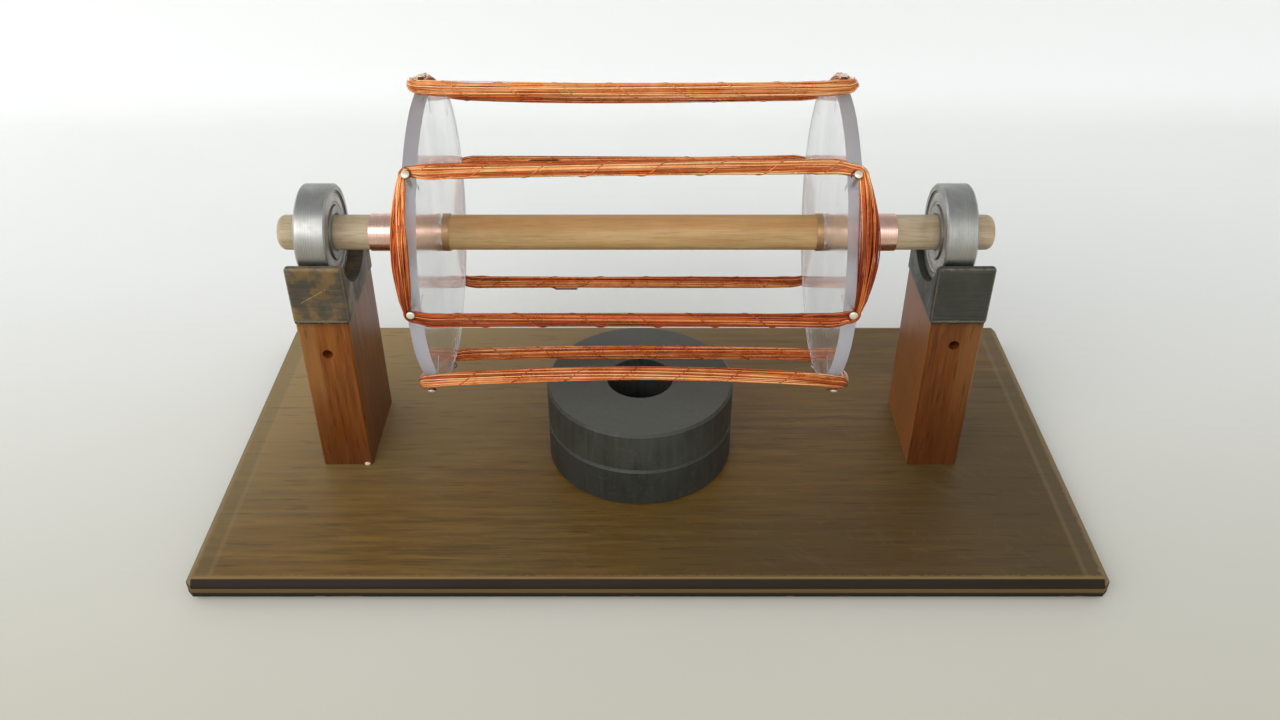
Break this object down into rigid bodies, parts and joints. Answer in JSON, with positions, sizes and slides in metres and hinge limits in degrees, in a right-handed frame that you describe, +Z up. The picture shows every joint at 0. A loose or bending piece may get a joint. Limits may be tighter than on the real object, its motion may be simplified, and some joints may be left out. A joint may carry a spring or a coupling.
{
  "type": "demonstration electric motor",
  "caption": "Demonstration electric motor: wire coils on clear discs turn on a wooden axle in ball bearings, over stacked ring magnets on a wooden base.",
  "frame": {"origin": "middle of the base board's underside", "axes": "+X along the axle to the right, -Y towards the viewer of the front, +Z up"},
  "size_m": [0.204, 0.102, 0.101],
  "materials": {
    "stained_plywood": "stained and varnished",
    "red_hardwood": "varnished",
    "dark_hardwood": "stained, worn",
    "beech_dowel": "bare",
    "copper_tube": "bare copper",
    "clear_acrylic": "clear, polished",
    "pin_brass": "polished",
    "enamelled_copper": "enamelled copper",
    "ferrite": "ground, matt",
    "bearing_steel": "ground",
    "shield_steel": "pressed",
    "ball_steel": "polished",
    "cage_steel": "pressed"
  },
  "bodies": {
    "stand": {"base_board": "stained_plywood", "left_post": "red_hardwood", "right_post": "red_hardwood", "left_cradle_block": "dark_hardwood", "right_cradle_block": "dark_hardwood", "lower_magnet": "ferrite", "upper_magnet": "ferrite", "left_bearing_outer_race": "bearing_steel", "left_bearing_inboard_shield": "shield_steel", "left_bearing_outboard_shield": "shield_steel", "right_bearing_outer_race": "bearing_steel", "right_bearing_inboard_shield": "shield_steel", "right_bearing_outboard_shield": "shield_steel"},
    "rotor": {"axle_dowel": "beech_dowel", "left_copper_sleeve": "copper_tube", "right_copper_sleeve": "copper_tube", "left_disc": "clear_acrylic", "right_disc": "clear_acrylic", "left_disc_pins": "pin_brass", "right_disc_pins": "pin_brass", "front_coil": "enamelled_copper", "top_coil": "enamelled_copper", "rear_coil": "enamelled_copper", "bottom_coil": "enamelled_copper", "left_bearing_inner_race": "bearing_steel", "right_bearing_inner_race": "bearing_steel"},
    "left_ball_set": {"left_bearing_balls": "ball_steel", "left_bearing_cage": "cage_steel"},
    "right_ball_set": {"right_bearing_balls": "ball_steel", "right_bearing_cage": "cage_steel"}
  },
  "joints": [
    {"name": "rotor_spin", "type": "hinge", "parent": "stand", "child": "rotor", "pos_m": [-0.0026, 0.0015, 0.064], "axis": [1, 0, 0], "continuous": true},
    {"name": "left_ball_set_spin", "type": "hinge", "parent": "stand", "child": "left_ball_set", "pos_m": [-0.074, 0.0015, 0.064], "axis": [1, 0, 0], "continuous": true},
    {"name": "right_ball_set_spin", "type": "hinge", "parent": "stand", "child": "right_ball_set", "pos_m": [0.0688, 0.0015, 0.064], "axis": [1, 0, 0], "continuous": true}
  ],
  "couplings": [
    {"joint": "left_ball_set_spin", "follows": "rotor_spin", "ratio": 0.3677},
    {"joint": "right_ball_set_spin", "follows": "rotor_spin", "ratio": 0.3677}
  ]
}
